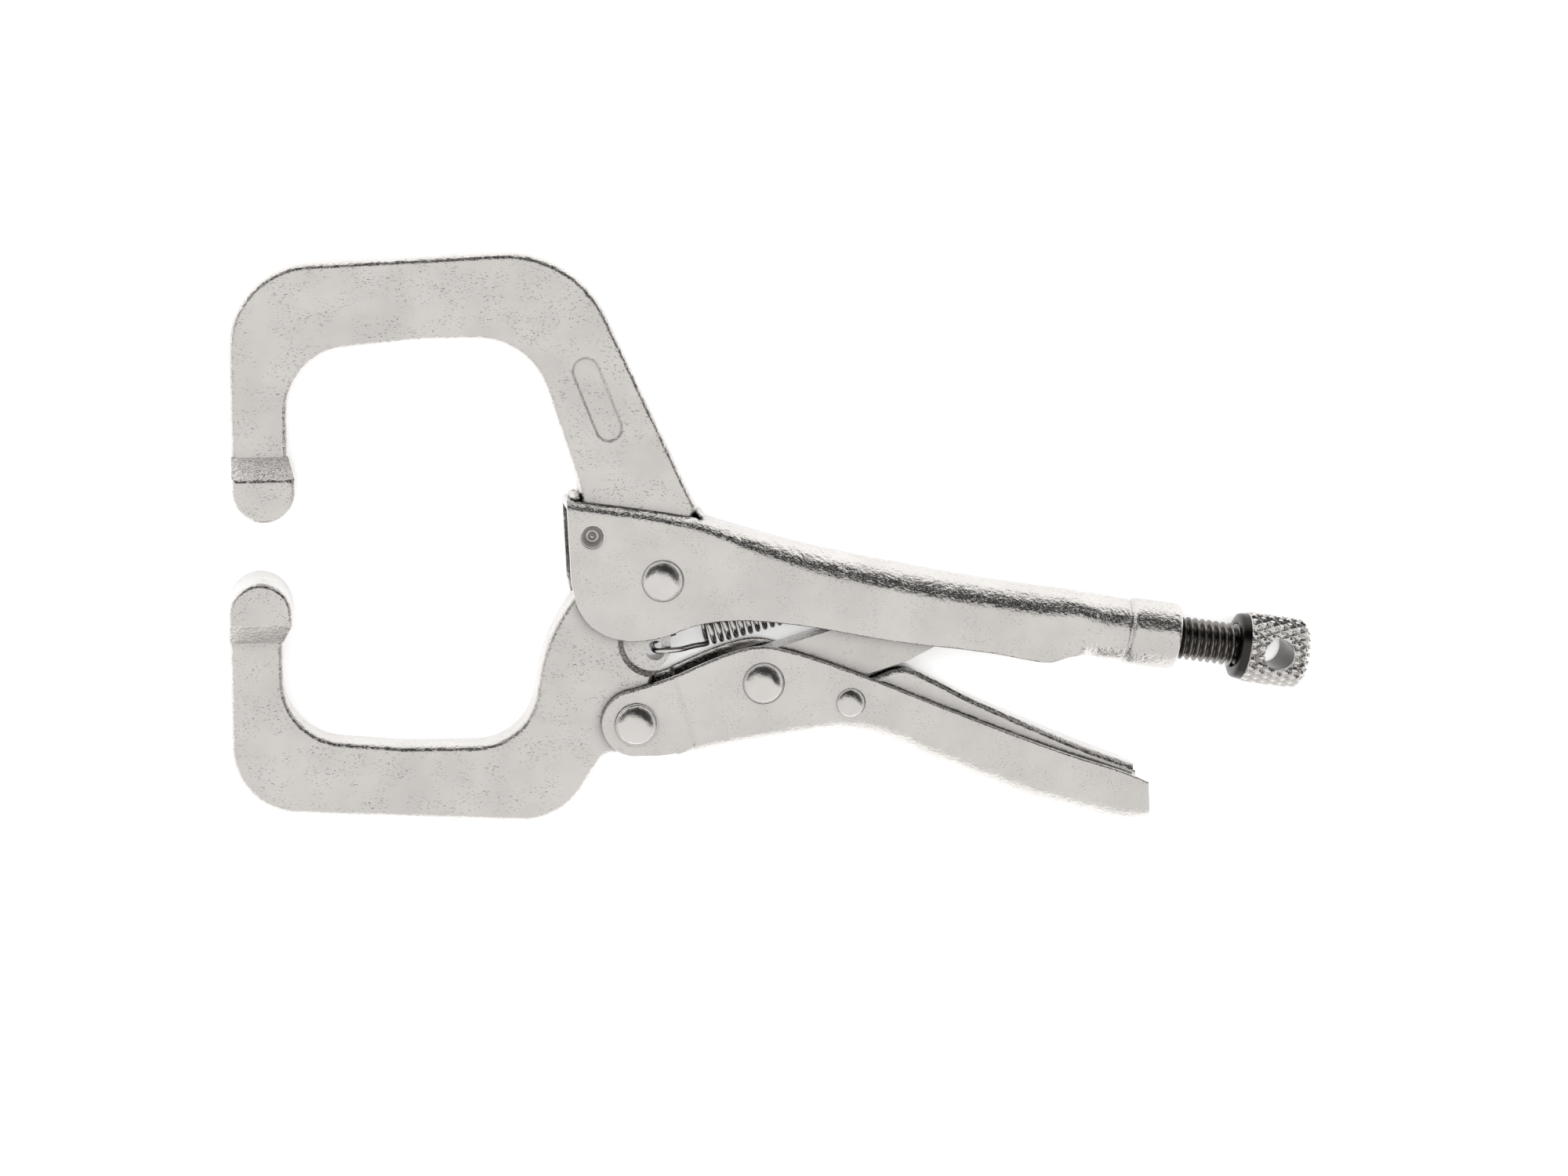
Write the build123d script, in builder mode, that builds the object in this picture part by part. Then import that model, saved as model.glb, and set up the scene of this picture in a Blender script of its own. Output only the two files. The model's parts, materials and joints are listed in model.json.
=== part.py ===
"""Locking C-clamp pliers, about 150 mm long, lying on their side.

Millimetres, +Z up.  The tool lies flat: X runs from the jaws to the adjusting knob, Y is
the direction in which the jaws close, and Z is across the tool.  Every profile is drawn on
the tool's mid-plane, measured from the main pivot, on which the movable jaw turns.
"""
import math
import os

from build123d import *

# ---- where the main pivot stands: the origin is below the middle of the bounding box ----
PIVOT_X = -16.605
PIVOT_Y = -4.287
MID_Z = 6.35                     # half the width of the jaw feet, which touch the ground

# ---- pivots, from the main pivot, with the toggle locked straight ----
HANDLE_PIVOT = (-3.70, -19.70)   # lower handle on the movable jaw
LINK_PIVOT = (13.75, -14.40)     # toggle link on the lower handle
LEVER_PIVOT = (25.77, -17.37)    # release lever on the lower handle
JAW_PIN = (-9.48, 6.16)          # staked pin through the fixed jaw's root
LINK_REACH = 28.4                # from the link's pivot to its thrust end

# ---- jaws ----
JAW_HALF = 3.175                 # quarter inch bar
JAW_EDGE = 1.0                   # forged edge rounding
FOOT_HALF = 6.35                 # half inch wide pads
FOOT_RADIUS = 4.2
FOOT_EDGE = 0.8
FOOT_STEP = 2.9                  # length of the slope from the bar to the wide foot
UPPER_BAR = (-57.5, -49.95)      # outer and inner side of the fixed jaw's front bar
UPPER_FOOT_X = -53.3
UPPER_FOOT_TIP = 9.0
LOWER_BAR = (-58.2, -51.1)
LOWER_FOOT_X = -54.0
LOWER_FOOT_TIP = 0.95
FOOT_FLAT = 5.6                  # from the tip to the start of the slope
BOSS_RADIUS = 6.2
SADDLE_RADIUS = 6.9              # clearance that the fixed jaw's root leaves round the boss
SPRING_HOLE = (-0.83, -9.94)
SPRING_HOLE_R = 1.35
RECESS_CENTRE = (-1.1, -8.6)
RECESS_RADIUS = 4.9
RECESS_DEPTH = 0.8
RECESS_DRAFT = 45.0
PANEL_CENTRE = (-8.55, 24.57)
PANEL_LENGTH = 12.2
PANEL_WIDTH = 3.9
PANEL_ANGLE = -68.6
PANEL_DEPTH = 0.35
PANEL_DRAFT = 45.0

# ---- sheet metal handles ----
CHANNEL_HALF = 4.8
CHANNEL_INNER = 3.3
SHEET = 1.4
LOWER_EAR = 4.7
SLOT_FRONT = -11.3
SLOT_REAR = 5.0
TAB_X = 28.0
TAB_THICK = 1.2
TAB_HALF = 2.0
TAB_BOTTOM = -3.4
TAB_HOLE_Y = -1.9
TAB_HOLE_R = 0.75

# ---- adjusting screw, along its own axis ----
SCREW_POINT = (76.2, -10.68)     # a point on the screw's axis
SCREW_ANGLE = -9.0
SCREW_R = 3.0                    # M6 x 1
SCREW_TIP = -30.8
SCREW_END = 6.9
RUNNING_GAP = 0.05
BARREL_R = 4.65
BARREL_START = -11.2
BARREL_END = -4.2
NECK_R = 4.35
NECK_START = -15.2
KNOB_R = 4.9
SHOULDER_R = 4.7
SHOULDER_START = 4.35
KNURL_START = 5.7
KNOB_END = 14.9
KNOB_ROUND = 1.9
CROSS_HOLE_AT = 10.0
CROSS_HOLE_R = 2.2
KNOB_BORE_END = 7.2

# ---- toggle link and release lever ----
LINK_HALF = 2.6
LINK_WIDTH = 7.4
LINK_END_R = 2.2
LEVER_HALF = 2.85
LEVER_SHEET = 1.0

# ---- rivets ----
RIVET_R = 2.0
RIVET_HEAD_R = 2.9
RIVET_HEAD_H = 1.25
SMALL_RIVET_R = 1.4
SMALL_HEAD_R = 2.05
SMALL_HEAD_H = 0.9
PIN_R = 1.8
PIN_DIMPLE_R = 1.9
PIN_DIMPLE_DEPTH = 0.7

# ---- return spring ----
COIL_START = (6.0, -7.4)
COIL_LENGTH = 18.2
COIL_ANGLE = 14.4
COIL_R = 2.5
WIRE_R = 0.38

os.makedirs("parts", exist_ok=True)

TOOL = Plane(origin=(PIVOT_X, PIVOT_Y, MID_Z))


def place(point, z=0.0):
    """A point of the mid-plane drawing as a point of the finished frame."""
    return (PIVOT_X + point[0], PIVOT_Y + point[1], MID_Z + z)


def along_screw(distance):
    """Plane square to the screw's axis, its normal pointing from the jaws to the knob."""
    turn = math.radians(SCREW_ANGLE)
    point = (SCREW_POINT[0] + distance * math.cos(turn), SCREW_POINT[1] + distance * math.sin(turn))
    return Plane(origin=place(point), x_dir=(0, 0, 1), z_dir=(math.cos(turn), math.sin(turn), 0))


def bore(centre, radius):
    """Cuts a hole right across the tool, in whichever part is being built."""
    with BuildSketch(TOOL) as hole:
        with Locations(centre):
            Circle(radius)
    extrude(hole.sketch, amount=2 * FOOT_HALF, both=True, mode=Mode.SUBTRACT)


def foot(centre_x, tip_y, direction, bar):
    """Wide half-round pad at the end of a jaw, sloping back to the bar's width and thickness."""
    flat_y = tip_y + direction * FOOT_FLAT
    slope_y = flat_y + direction * FOOT_STEP
    with BuildSketch(TOOL) as pad:
        round_y = tip_y + direction * FOOT_RADIUS
        with Locations((centre_x, round_y)):
            Circle(FOOT_RADIUS)
        with BuildLine():
            Polyline(
                (centre_x - FOOT_RADIUS, round_y), (centre_x - FOOT_RADIUS, flat_y), (bar[0], slope_y),
                (bar[1], slope_y), (centre_x + FOOT_RADIUS, flat_y), (centre_x + FOOT_RADIUS, round_y),
                close=True,
            )
        make_face()
    extrude(pad.sketch, amount=FOOT_HALF, both=True)
    for side in (1, -1):
        with BuildSketch(Plane(origin=place((centre_x, 0)), x_dir=(0, 1, 0), z_dir=(1, 0, 0))) as wedge:
            with BuildLine():
                Polyline(
                    (flat_y, side * FOOT_HALF),
                    (flat_y, side * 2 * FOOT_HALF),
                    (slope_y + direction, side * 2 * FOOT_HALF),
                    (slope_y + direction, side * JAW_HALF),
                    (slope_y, side * JAW_HALF),
                    close=True,
                )
            make_face()
        extrude(wedge.sketch, amount=2 * FOOT_RADIUS, both=True, mode=Mode.SUBTRACT)


# ---------------------------------------------------------------- fixed (upper) jaw
with BuildPart() as upper_jaw:
    with BuildSketch(TOOL):
        with BuildLine():
            FilletPolyline(
                (UPPER_BAR[0], 16.0), (UPPER_BAR[0], 42.74), (-11.33, 44.81), (4.9, 9.7),
                (4.4, 8.4), (4.4, 3.6), (-11.0, 3.6), (-11.0, 12.9), (-17.53, 33.0),
                (-32.0, 32.9), (UPPER_BAR[1], 31.3), (UPPER_BAR[1], 16.0),
                radius=[0.2, 11.3, 15.0, 0.9, 0.5, 0.3, 0.8, 5.0, 10.0, 9.0, 8.5, 0.2],
                close=True,
            )
        make_face()
    extrude(amount=JAW_HALF, both=True)
    fillet(upper_jaw.edges().filter_by(Axis.Z, reverse=True), radius=JAW_EDGE)
    bore((0, 0), SADDLE_RADIUS)
    foot(UPPER_FOOT_X, UPPER_FOOT_TIP, 1, UPPER_BAR)
    fillet(upper_jaw.edges().group_by(Axis.Z)[-1] + upper_jaw.edges().group_by(Axis.Z)[0], radius=FOOT_EDGE)
    bore(JAW_PIN, PIN_R)
    with BuildSketch(TOOL.offset(JAW_HALF)):
        with Locations(PANEL_CENTRE):
            SlotOverall(PANEL_LENGTH, PANEL_WIDTH, rotation=PANEL_ANGLE)
    extrude(amount=-PANEL_DEPTH, taper=PANEL_DRAFT, mode=Mode.SUBTRACT)

# ---------------------------------------------------------------- movable (lower) jaw
with BuildPart() as lower_jaw:
    with BuildSketch(TOOL):
        with BuildLine():
            FilletPolyline(
                (LOWER_BAR[0], -6.0), (LOWER_BAR[0], -30.6), (-14.0, -33.3), (-8.0, -24.0), (0.5, -23.9),
                (0.5, -17.0), (-1.5, -14.2), (1.3, -10.4), (1.3, -6.2), (6.2, -6.2),
                (BOSS_RADIUS, BOSS_RADIUS), (-2.26, BOSS_RADIUS), (-12.0, -1.97), (-15.9, -8.5),
                (-18.3, -22.4), (-35.0, -22.2), (LOWER_BAR[1], -20.6), (LOWER_BAR[1], -6.0),
                radius=[
                    0.2, 9.2, 9.5, 2.0, 4.1, 1.5, 1.5, 2.0, 0.8,
                    4.0, 6.1, 6.1, 16.0, 22.0, 8.2, 9.0, 8.5, 0.2,
                ],
                close=True,
            )
        make_face()
    extrude(amount=JAW_HALF, both=True)
    fillet(lower_jaw.edges().filter_by(Axis.Z, reverse=True), radius=JAW_EDGE)
    foot(LOWER_FOOT_X, LOWER_FOOT_TIP, -1, LOWER_BAR)
    fillet(lower_jaw.edges().group_by(Axis.Z)[-1] + lower_jaw.edges().group_by(Axis.Z)[0], radius=FOOT_EDGE)
    for side in (1, -1):
        with BuildSketch(TOOL.offset(side * JAW_HALF)):
            with Locations(RECESS_CENTRE):
                Circle(RECESS_RADIUS)
        extrude(amount=-side * RECESS_DEPTH, taper=RECESS_DRAFT, mode=Mode.SUBTRACT)
    bore(SPRING_HOLE, SPRING_HOLE_R)
    bore((0, 0), RIVET_R + RUNNING_GAP)
    bore(HANDLE_PIVOT, RIVET_R + RUNNING_GAP)


# ---------------------------------------------------------------- fixed handle
# Its back runs from the jaw to the barrel in three gentle stretches.
BACK = ((-12.9, 11.2), (10.0, 7.2), (33.0, 0.95), (62.5, -3.95))
BACK_CURVES = [80.0, 120.0]
BACK_BEND = 2.5

with BuildPart() as fixed_handle:
    with BuildSketch(TOOL):
        with BuildLine():
            FilletPolyline(
                *BACK, (62.5, -11.95), (58.0, -11.6), (55.8, -11.9), (54.0, -12.6), (38.0, -10.0),
                (20.0, -6.7), (7.2, -5.5), (-2.4, -8.5), (-12.1, -8.5),
                radius=[0, *BACK_CURVES, 0, 0, 1.0, 0.8, 0.8, 10.0, 40.0, 10.0, 12.0, 7.4],
                close=True,
            )
        make_face()
    extrude(amount=CHANNEL_HALF, both=True)
    back_faces = fixed_handle.faces().filter_by(lambda face: face.normal_at().Y > 0.9)
    fillet(back_faces.edges().filter_by(Axis.Z, reverse=True), radius=BACK_BEND)
    # inside of the channel, open towards the lower handle
    with BuildSketch(TOOL):
        with BuildLine() as channel_roof:
            FilletPolyline(
                (-20.0, BACK[0][1] - SHEET + 1.24), *[(x, y - SHEET) for x, y in BACK[1:-1]],
                (70.0, -5.2 - SHEET), radius=BACK_CURVES,
            )
            Polyline(channel_roof.line @ 1, (70.0, -30.0), (-20.0, -30.0), channel_roof.line @ 0)
        make_face()
    extrude(amount=CHANNEL_INNER, both=True, mode=Mode.SUBTRACT)
    # slot in the back that the fixed jaw stands in
    with BuildSketch(TOOL):
        with Locations(((SLOT_FRONT + SLOT_REAR) / 2, 8.0)):
            Rectangle(SLOT_REAR - SLOT_FRONT, 16.0)
    extrude(amount=CHANNEL_INNER, both=True, mode=Mode.SUBTRACT)
    # round neck and barrel for the adjusting screw
    with BuildSketch(along_screw(NECK_START)):
        Circle(NECK_R)
    extrude(amount=BARREL_START - NECK_START)
    with BuildSketch(along_screw(BARREL_START)):
        Circle(BARREL_R)
    extrude(amount=BARREL_END - BARREL_START)
    with BuildSketch(along_screw(NECK_START - 3)):
        Circle(SCREW_R + RUNNING_GAP)
    extrude(amount=BARREL_END - NECK_START + 3, mode=Mode.SUBTRACT)
    # tab lanced down from the back, which the return spring hooks into
    with BuildSketch(TOOL):
        with Locations((TAB_X, (TAB_BOTTOM + 1.4) / 2)):
            Rectangle(TAB_THICK, 1.4 - TAB_BOTTOM)
    extrude(amount=TAB_HALF, both=True)
    with BuildSketch(Plane(origin=place((TAB_X, TAB_HOLE_Y)), x_dir=(0, 1, 0), z_dir=(1, 0, 0))):
        Circle(TAB_HOLE_R)
    extrude(amount=TAB_THICK, both=True, mode=Mode.SUBTRACT)
    bore((0, 0), RIVET_R)
    bore(JAW_PIN, PIN_R)

# ---------------------------------------------------------------- lower handle
# Its belly is a bend along the outside of the grip, from the ear to the tail.
BELLY = (
    (67.0, -35.8), (52.0, -31.9), (38.0, -26.2), (30.0, -22.4), (25.0, -21.3),
    (16.0, -22.0), (5.0, -23.5), (-3.7, -24.4),
)
BELLY_ENDS = ((-0.97, 0.2), (-1.0, 0.0))
BELLY_BEND = 2.2
SPINE_START = 2.8

with BuildPart() as lower_handle:
    with BuildSketch(TOOL):
        with BuildLine():
            Line((-3.7, -24.4), (-3.7, -15.0))
            Line((-3.7, -15.0), (1.0, -13.3))
            Spline(
                (1.0, -13.3), (9.0, -10.3), (13.4, -9.35), (17.6, -10.1), (28.0, -13.9),
                (40.0, -18.9), (55.0, -25.0), (67.0, -29.0),
                tangents=((0.95, 0.3), (0.95, -0.25)),
            )
            Line((67.0, -29.0), (68.2, -31.8))
            Line((68.2, -31.8), (67.0, -35.8))
            Spline(*BELLY, tangents=BELLY_ENDS)
        make_face()
    extrude(amount=CHANNEL_HALF, both=True)
    fillet(lower_handle.edges().filter_by(GeomType.BSPLINE).sort_by(Axis.Y)[0:2], radius=BELLY_BEND)
    with BuildSketch(TOOL):
        with Locations(HANDLE_PIVOT):
            Circle(LOWER_EAR)
    extrude(amount=CHANNEL_HALF, both=True)
    # inside of the channel, open towards the fixed handle and at the tail
    with BuildSketch(TOOL):
        with BuildLine():
            Spline(*[(x, y + SHEET) for x, y in BELLY], tangents=BELLY_ENDS)
            Polyline(
                (-3.7, SHEET - 24.4), (-3.7, 0.0), (75.0, 0.0), (75.0, SHEET - 37.4), (67.0, SHEET - 35.8)
            )
        make_face()
    extrude(amount=CHANNEL_INNER, both=True, mode=Mode.SUBTRACT)
    # the ears have no back between them, so that the jaw can turn there
    with BuildSketch(TOOL):
        with Locations((SPINE_START - 8.0, -20.0)):
            Rectangle(16.0, 20.0)
    extrude(amount=CHANNEL_INNER, both=True, mode=Mode.SUBTRACT)
    bore(HANDLE_PIVOT, RIVET_R)
    bore(LINK_PIVOT, RIVET_R)
    bore(LEVER_PIVOT, SMALL_RIVET_R)

# ---------------------------------------------------------------- toggle link
LINK_ANGLE = math.degrees(math.atan2(LINK_PIVOT[1] - HANDLE_PIVOT[1], LINK_PIVOT[0] - HANDLE_PIVOT[0]))
LINK_TURN = math.radians(LINK_ANGLE)
LINK_END = (
    LINK_PIVOT[0] + LINK_REACH * math.cos(LINK_TURN),
    LINK_PIVOT[1] + LINK_REACH * math.sin(LINK_TURN),
)
LINK_TAPER = 20.0                # from the pivot to where the link narrows

with BuildPart() as toggle_link:
    link_plane = Plane(
        origin=place(LINK_PIVOT), x_dir=(math.cos(LINK_TURN), math.sin(LINK_TURN), 0), z_dir=(0, 0, 1)
    )
    with BuildSketch(link_plane):
        Circle(LINK_WIDTH / 2)
        with Locations((LINK_REACH, 0)):
            Circle(LINK_END_R)
        with BuildLine():
            Polyline(
                (0, -LINK_WIDTH / 2), (LINK_TAPER, -LINK_WIDTH / 2), (LINK_REACH, -LINK_END_R),
                (LINK_REACH, LINK_END_R), (LINK_TAPER, LINK_WIDTH / 2), (0, LINK_WIDTH / 2), close=True,
            )
        make_face()
    extrude(amount=LINK_HALF, both=True)
    bore(LINK_PIVOT, RIVET_R + RUNNING_GAP)

# ---------------------------------------------------------------- release lever
LEVER_BACK = ((33.2, -12.85), (43.0, -17.6), (57.4, -24.1), (66.0, -27.4))
LEVER_EAR_R = 2.2

with BuildPart() as release_lever:
    with BuildSketch(TOOL):
        with BuildLine():
            Line((24.6, -15.55), (33.2, -12.85))
            Spline(*LEVER_BACK, tangents=((0.8, -0.45), (0.96, -0.3)))
            Line((66.0, -27.4), (65.2, -30.4))
            Spline(
                (65.2, -30.4), (52.0, -25.6), (43.0, -21.4), (36.0, -18.9),
                tangents=((-0.95, 0.3), (-0.95, 0.3)),
            )
            Line((36.0, -18.9), (26.4, -19.45))
            Line((26.4, -19.45), (24.6, -15.55))
        make_face()
        with Locations(LEVER_PIVOT):
            Circle(LEVER_EAR_R)
    extrude(amount=LEVER_HALF, both=True)
    # hollow underneath: two sides hang from the back
    with BuildSketch(TOOL):
        with BuildLine():
            Line((20.0, -18.6), (33.2, -12.85 - LEVER_SHEET))
            Spline(
                *[(x, y - LEVER_SHEET) for x, y in LEVER_BACK], tangents=((0.8, -0.45), (0.96, -0.3))
            )
            Polyline((66.0, -27.4 - LEVER_SHEET), (72.0, -40.0), (20.0, -40.0), (20.0, -18.6))
        make_face()
    extrude(amount=LEVER_HALF - LEVER_SHEET, both=True, mode=Mode.SUBTRACT)
    bore(LEVER_PIVOT, SMALL_RIVET_R + RUNNING_GAP)

# ---------------------------------------------------------------- adjusting screw
with BuildPart() as adjusting_screw:
    with BuildSketch(along_screw(SCREW_TIP)):
        Circle(SCREW_R)
    extrude(amount=SCREW_END - SCREW_TIP)
    chamfer(adjusting_screw.edges().filter_by(GeomType.CIRCLE), length=0.6)

# ---------------------------------------------------------------- adjusting knob
with BuildPart() as screw_knob:
    with BuildSketch(along_screw(SHOULDER_START)):
        Circle(SHOULDER_R)
    extrude(amount=KNURL_START - SHOULDER_START)
    chamfer(screw_knob.edges().filter_by(GeomType.CIRCLE), length=0.4)
    with BuildSketch(along_screw(KNURL_START)):
        Circle(KNOB_R)
    extrude(amount=KNOB_END - KNURL_START)
    fillet(screw_knob.edges().filter_by(GeomType.CIRCLE).sort_by(Axis.X)[-1], radius=KNOB_ROUND)
    with BuildSketch(along_screw(SHOULDER_START)):
        Circle(SCREW_R + RUNNING_GAP)
    extrude(amount=KNOB_BORE_END - SHOULDER_START, mode=Mode.SUBTRACT)
    knob_middle = along_screw(CROSS_HOLE_AT).origin
    bore((knob_middle.X - PIVOT_X, knob_middle.Y - PIVOT_Y), CROSS_HOLE_R)


# ---------------------------------------------------------------- rivets and staked pin
def rivet(centre, shank_r, head_r, head_h):
    """Solid rivet across a channel, with a low dome on each side."""
    dome_r = (head_r ** 2 + head_h ** 2) / (2 * head_h)
    dome_z = CHANNEL_HALF + head_h - dome_r
    with BuildPart() as piece:
        with Locations(place(centre, dome_z), place(centre, -dome_z)):
            Sphere(dome_r)
        with Locations(place(centre)):
            Cylinder(2 * dome_r, 2 * CHANNEL_HALF, mode=Mode.SUBTRACT)
            Cylinder(shank_r, 2 * CHANNEL_HALF)
    return piece.part


jaw_pivot_rivet = rivet((0, 0), RIVET_R, RIVET_HEAD_R, RIVET_HEAD_H)
handle_pivot_rivet = rivet(HANDLE_PIVOT, RIVET_R, RIVET_HEAD_R, RIVET_HEAD_H)
link_pivot_rivet = rivet(LINK_PIVOT, RIVET_R, RIVET_HEAD_R, RIVET_HEAD_H)
lever_pivot_rivet = rivet(LEVER_PIVOT, SMALL_RIVET_R, SMALL_HEAD_R, SMALL_HEAD_H)

with BuildPart() as jaw_pin:
    with BuildSketch(TOOL):
        with Locations(JAW_PIN):
            Circle(PIN_R)
    extrude(amount=CHANNEL_HALF, both=True)
    dimple_z = CHANNEL_HALF + PIN_DIMPLE_R - PIN_DIMPLE_DEPTH
    with Locations(place(JAW_PIN, dimple_z), place(JAW_PIN, -dimple_z)):
        Sphere(PIN_DIMPLE_R, mode=Mode.SUBTRACT)


# ---------------------------------------------------------------- weld beads
def weld_bead(centre, radius):
    """Short bead of weld across the slot, at one corner of the fixed jaw's root."""
    with BuildPart() as bead:
        with BuildSketch(TOOL.offset(-CHANNEL_INNER)):
            with Locations(centre):
                Circle(radius)
        extrude(amount=2 * CHANNEL_INNER)
        fillet(bead.edges().filter_by(GeomType.CIRCLE), radius=0.6 * radius)
    return bead.part


front_weld_bead = weld_bead((-11.6, 11.4), 0.7)
rear_weld_bead = weld_bead((5.4, 8.7), 0.7)

# ---------------------------------------------------------------- return spring
coil_turn = math.radians(COIL_ANGLE)
coil_dir = (math.cos(coil_turn), math.sin(coil_turn), 0)
coil_end = (COIL_START[0] + COIL_LENGTH * coil_dir[0], COIL_START[1] + COIL_LENGTH * coil_dir[1])

with BuildPart() as return_spring:
    with BuildSketch(Plane(origin=place(COIL_START), z_dir=coil_dir)):
        Circle(COIL_R)
        Circle(COIL_R - 2 * WIRE_R, mode=Mode.SUBTRACT)
    extrude(amount=COIL_LENGTH)
    # straight end legs, from the coil's wall to the jaw's hole and to the handle's tab
    with BuildLine(Plane(origin=place((0, 0)))) as front_leg:
        Polyline((6.9, -9.4), (1.45, -9.8))
    with BuildSketch(Plane(origin=front_leg.line @ 0, z_dir=front_leg.line % 0)):
        Circle(WIRE_R)
    sweep(path=front_leg.line)
    with BuildLine(Plane(origin=place((0, 0)))) as rear_leg:
        Polyline((22.9, -0.85), (27.3, -1.9))
    with BuildSketch(Plane(origin=rear_leg.line @ 0, z_dir=rear_leg.line % 0)):
        Circle(WIRE_R)
    sweep(path=rear_leg.line)

# ---------------------------------------------------------------- one file for each piece
PIECES = {
    "fixed_handle": fixed_handle.part,
    "upper_jaw": upper_jaw.part,
    "front_weld_bead": front_weld_bead,
    "rear_weld_bead": rear_weld_bead,
    "jaw_pin": jaw_pin.part,
    "jaw_pivot_rivet": jaw_pivot_rivet,
    "lower_jaw": lower_jaw.part,
    "lower_handle": lower_handle.part,
    "handle_pivot_rivet": handle_pivot_rivet,
    "link_pivot_rivet": link_pivot_rivet,
    "lever_pivot_rivet": lever_pivot_rivet,
    "toggle_link": toggle_link.part,
    "release_lever": release_lever.part,
    "adjusting_screw": adjusting_screw.part,
    "screw_knob": screw_knob.part,
    "return_spring": return_spring.part,
}
for name, piece in PIECES.items():
    piece.label = name
    export_step(piece, f"parts/{name}.step")
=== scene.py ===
"""Locking C-clamp pliers in satin nickel, lying on their side on a pale floor.

Lengths are in millimetres from the main pivot, which the movable jaw turns on, and at() turns
them into metres in the frame.  X runs from the jaws to the adjusting knob, Y from the movable
jaw to the fixed one, and Z stands out of the tool's mid-plane.
"""
import json
import math

import bmesh
import bpy
from mathutils import Matrix, Vector, noise


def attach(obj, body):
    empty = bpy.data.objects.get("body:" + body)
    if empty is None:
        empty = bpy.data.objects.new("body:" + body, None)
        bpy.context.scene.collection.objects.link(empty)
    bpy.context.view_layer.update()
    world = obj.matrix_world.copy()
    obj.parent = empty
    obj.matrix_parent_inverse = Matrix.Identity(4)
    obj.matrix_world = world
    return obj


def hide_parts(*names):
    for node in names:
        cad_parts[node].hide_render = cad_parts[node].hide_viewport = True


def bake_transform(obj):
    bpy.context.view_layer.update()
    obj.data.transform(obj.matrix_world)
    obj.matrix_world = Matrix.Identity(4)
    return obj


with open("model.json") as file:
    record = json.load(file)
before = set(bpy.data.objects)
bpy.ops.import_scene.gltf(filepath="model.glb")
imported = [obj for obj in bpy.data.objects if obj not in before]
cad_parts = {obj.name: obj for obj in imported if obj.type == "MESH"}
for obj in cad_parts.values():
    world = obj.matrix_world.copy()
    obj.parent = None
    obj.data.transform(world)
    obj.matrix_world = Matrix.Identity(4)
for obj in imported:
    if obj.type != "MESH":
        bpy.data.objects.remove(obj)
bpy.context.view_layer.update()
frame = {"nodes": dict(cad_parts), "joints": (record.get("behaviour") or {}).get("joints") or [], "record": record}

MM = 0.001
JOINTS = {joint["name"]: joint for joint in frame["joints"]}
MAIN_PIVOT = Vector(JOINTS["lower_jaw"]["pos_m"])
SCREW_MIDDLE = Vector(JOINTS["screw_knob"]["pos_m"])       # centre of the knob's cross hole
SCREW_AXIS = Vector(JOINTS["screw_knob"]["axis"]).normalized()
CROSS_HOLE_AT = 10.0                                       # the cross hole, along the screw
CROSS_HOLE_RADIUS = 2.2
ACROSS = Vector((0, 0, 1))
SCREW_UP = ACROSS.cross(SCREW_AXIS)

# both sheet metal handles
HALF_WIDTH = 4.8
SHEET = 1.3
EDGE_ROUND = 0.32                 # radius of a free edge

REACH_ACROSS = 9.0                # half the length of a cutter that goes right across the tool
CURVE_STEPS = 24                  # steps between two corners of a curve, before it is spaced evenly


def at(x, y, z=0.0):
    """A point in millimetres from the main pivot, as a point of the frame."""
    return MAIN_PIVOT + Vector((x, y, z)) * MM


def on_screw(distance, radius=0.0, angle=0.0):
    """A point round the screw's axis; angle 0 is up in the tool's plane, 90 degrees is +Z."""
    middle = SCREW_MIDDLE + SCREW_AXIS * (distance - CROSS_HOLE_AT) * MM
    return middle + (SCREW_UP * math.cos(angle) + ACROSS * math.sin(angle)) * radius * MM


def smooth(edge0, edge1, value):
    """0 below edge0, 1 above edge1, and an S-curve between."""
    t = min(1.0, max(0.0, (value - edge0) / (edge1 - edge0)))
    return t * t * (3 - 2 * t)


def through(points, value):
    """Smooth curve through (x, y) points, sorted by x, read at one x."""
    if value <= points[0][0]:
        return points[0][1]
    for i in range(len(points) - 1):
        x1, y1 = points[i]
        x2, y2 = points[i + 1]
        if value <= x2:
            x0, y0 = points[max(i - 1, 0)]
            x3, y3 = points[min(i + 2, len(points) - 1)]
            slope1 = (y2 - y0) / (x2 - x0)
            slope2 = (y3 - y1) / (x3 - x1)
            t = (value - x1) / (x2 - x1)
            width = x2 - x1
            return (
                (2 * t ** 3 - 3 * t ** 2 + 1) * y1 + (t ** 3 - 2 * t ** 2 + t) * width * slope1
                + (3 * t ** 2 - 2 * t ** 3) * y2 + (t ** 3 - t ** 2) * width * slope2
            )
    return points[-1][1]


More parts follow.
